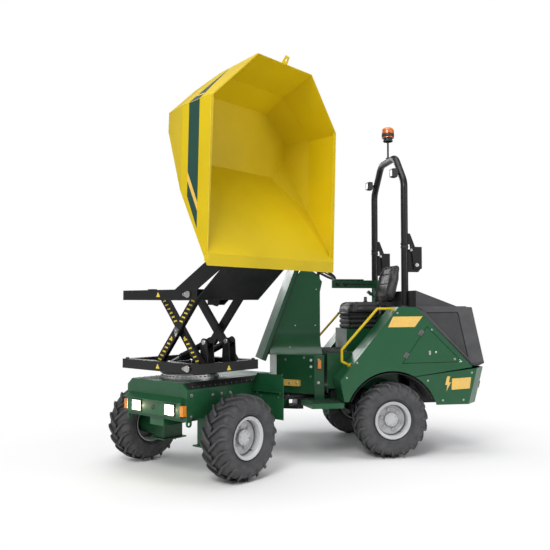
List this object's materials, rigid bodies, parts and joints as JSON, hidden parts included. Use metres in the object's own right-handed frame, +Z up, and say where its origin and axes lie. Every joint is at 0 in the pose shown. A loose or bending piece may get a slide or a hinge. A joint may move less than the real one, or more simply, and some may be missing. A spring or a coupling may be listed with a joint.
{
  "type": "site dumper",
  "caption": "Compact articulated electric site dumper with a swivelling, scissor-lifted, high-tipping skip and a folding roll bar.",
  "frame": {"origin": "middle of the parked machine's bounding box, on the ground", "axes": "+X forward along the rear half, +Y to its left, +Z up"},
  "size_m": [3.6992, 2.8188, 3.4313],
  "materials": {
    "green_paint": "satin",
    "yellow_paint": "satin",
    "black_paint": "satin",
    "grey_paint": "satin",
    "chrome_rod": "polished",
    "tyre_rubber": "matte",
    "black_rubber": "matte",
    "black_plastic": "matte",
    "seat_cover": "matte",
    "amber_lens": "gloss",
    "lamp_lens": "gloss",
    "battery_case": "matte"
  },
  "bodies": {
    "rear_frame": {"rear_chassis": "black_paint", "rear_axle": "black_paint", "tower_base": "green_paint", "tower_column": "green_paint", "tower_shield": "green_paint", "steering_wheel": "black_plastic", "platform": "green_paint", "side_steps": "black_paint", "side_panel_left": "green_paint", "side_panel_right": "green_paint", "rear_bumper": "green_paint", "wheel_liners": "black_plastic", "battery_block": "battery_case", "door_hinges": "black_paint", "seat_box": "black_paint", "seat_bellows": "black_rubber", "seat_cushion": "seat_cover", "seat_backrest": "seat_cover", "control_arm": "green_paint", "handrails": "yellow_paint", "lock_bar": "yellow_paint", "rear_lamps": "lamp_lens", "rops_posts": "black_paint"},
    "rops": {"rops_arch": "black_paint", "beacon": "black_plastic", "beacon_lens": "amber_lens", "work_lamps": "lamp_lens"},
    "hood": {"hood": "black_paint"},
    "access_door": {"access_door": "green_paint"},
    "front_frame": {"front_chassis": "green_paint", "front_axle": "black_paint", "edge_strips": "black_rubber", "light_bar": "black_paint", "front_lamps": "lamp_lens", "mudflaps": "black_rubber", "slew_ring": "grey_paint"},
    "lower_table": {"lower_table": "black_paint"},
    "scissor_inner": {"scissor_inner": "black_paint"},
    "scissor_outer": {"scissor_outer": "black_paint"},
    "upper_table": {"upper_table": "black_paint", "tip_wedge": "black_paint"},
    "lift_barrels": {"lift_barrels": "black_paint"},
    "lift_rods": {"lift_rods": "chrome_rod"},
    "tip_barrel": {"tip_barrel": "black_paint"},
    "tip_rod": {"tip_rod": "chrome_rod"},
    "steer_barrel": {"steer_barrel": "black_paint"},
    "steer_rod": {"steer_rod": "chrome_rod"},
    "skip": {"skip": "yellow_paint"},
    "wheel_front_left": {"tyre_front_left": "tyre_rubber", "rim_front_left": "grey_paint"},
    "wheel_front_right": {"tyre_front_right": "tyre_rubber", "rim_front_right": "grey_paint"},
    "wheel_rear_left": {"tyre_rear_left": "tyre_rubber", "rim_rear_left": "grey_paint"},
    "wheel_rear_right": {"tyre_rear_right": "tyre_rubber", "rim_rear_right": "grey_paint"}
  },
  "joints": [
    {"name": "articulation", "type": "hinge", "parent": "rear_frame", "child": "front_frame", "pos_m": [0.16735, -0.66335, 0.48], "axis": [0, 0, 1], "range_deg": [-77.6, 0]},
    {"name": "slew", "type": "hinge", "parent": "front_frame", "child": "lower_table", "pos_m": [1.13061, 0.11113, 0.874], "axis": [0, 0, 1], "range_deg": [-180, 0]},
    {"name": "lift", "type": "hinge", "parent": "lower_table", "child": "scissor_inner", "pos_m": [0.89062, 0.40962, 0.92325], "axis": [-0.7793, -0.6266, 0], "range_deg": [-42.79, 0]},
    {"name": "scissor_cross", "type": "hinge", "parent": "scissor_inner", "child": "scissor_outer", "pos_m": [1.04969, 0.21178, 1.22588], "axis": [-0.7793, -0.6266, 0], "range_deg": [0, 85.58]},
    {"name": "upper_pivot", "type": "hinge", "parent": "scissor_outer", "child": "upper_table", "pos_m": [0.89062, 0.40962, 1.5285], "axis": [-0.7793, -0.6266, 0], "range_deg": [-42.79, 0]},
    {"name": "lift_trunnion", "type": "hinge", "parent": "lower_table", "child": "lift_barrels", "pos_m": [0.90503, 0.39169, 1.13], "axis": [-0.7793, -0.6266, 0], "range_deg": [0, 7.9]},
    {"name": "lift_stroke", "type": "slide", "parent": "lift_barrels", "child": "lift_rods", "axis": [0.5764, -0.7169, -0.3923], "range_m": [0, 0.26137]},
    {"name": "tip", "type": "hinge", "parent": "upper_table", "child": "skip", "pos_m": [0.65439, 0.70343, 1.88], "axis": [-0.7793, -0.6266, 0], "range_deg": [-92.5, 0]},
    {"name": "tip_foot", "type": "hinge", "parent": "upper_table", "child": "tip_barrel", "pos_m": [0.92383, 0.36831, 1.48], "axis": [-0.7793, -0.6266, 0], "range_deg": [-3.03, 0]},
    {"name": "tip_stroke", "type": "slide", "parent": "tip_barrel", "child": "tip_rod", "axis": [-0.3554, 0.442, 0.8236], "range_m": [-0.28965, 0]},
    {"name": "steer_foot", "type": "hinge", "parent": "rear_frame", "child": "steer_barrel", "pos_m": [-0.25265, -0.37835, 0.55], "axis": [0, 0, 1], "range_deg": [-33.42, 0]},
    {"name": "steer_stroke", "type": "slide", "parent": "steer_barrel", "child": "steer_rod", "axis": [0.9792, 0.2029, 0], "range_m": [0, 0.3344]},
    {"name": "rops_fold", "type": "hinge", "parent": "rear_frame", "child": "rops", "pos_m": [-1.11665, -0.66335, 1.838], "axis": [0, -1, 0], "range_deg": [0, 90]},
    {"name": "hood_lift", "type": "hinge", "parent": "rear_frame", "child": "hood", "pos_m": [-1.72265, -0.66335, 0.862], "axis": [0, -1, 0], "range_deg": [0, 60]},
    {"name": "door_swing", "type": "hinge", "parent": "rear_frame", "child": "access_door", "pos_m": [-0.87865, 0.04465, 0.885], "axis": [0.5758, 0, -0.8176], "range_deg": [0, 100]},
    {"name": "roll_front_left", "type": "hinge", "parent": "front_frame", "child": "wheel_front_left", "pos_m": [0.7465, 0.58886, 0.355], "axis": [-0.6266, 0.7793, 0], "continuous": true},
    {"name": "roll_front_right", "type": "hinge", "parent": "front_frame", "child": "wheel_front_right", "pos_m": [1.51472, -0.3666, 0.355], "axis": [-0.6266, 0.7793, 0], "continuous": true},
    {"name": "roll_rear_left", "type": "hinge", "parent": "rear_frame", "child": "wheel_rear_left", "pos_m": [-0.77765, -0.05035, 0.355], "axis": [0, 1, 0], "continuous": true},
    {"name": "roll_rear_right", "type": "hinge", "parent": "rear_frame", "child": "wheel_rear_right", "pos_m": [-0.77765, -1.27635, 0.355], "axis": [0, 1, 0], "continuous": true}
  ],
  "couplings": [
    {"joint": "scissor_cross", "follows": "lift", "ratio": -2},
    {"joint": "upper_pivot", "follows": "lift", "ratio": 1},
    {"joint": "lift_trunnion", "follows": "lift", "ratio": -0.18452},
    {"joint": "lift_stroke", "follows": "lift", "m_per_rad": -0.34996},
    {"joint": "tip_foot", "follows": "tip", "ratio": 0.032724},
    {"joint": "tip_stroke", "follows": "tip", "m_per_rad": 0.17941},
    {"joint": "steer_foot", "follows": "articulation", "ratio": 0.43072},
    {"joint": "steer_stroke", "follows": "articulation", "m_per_rad": -0.2469}
  ]
}
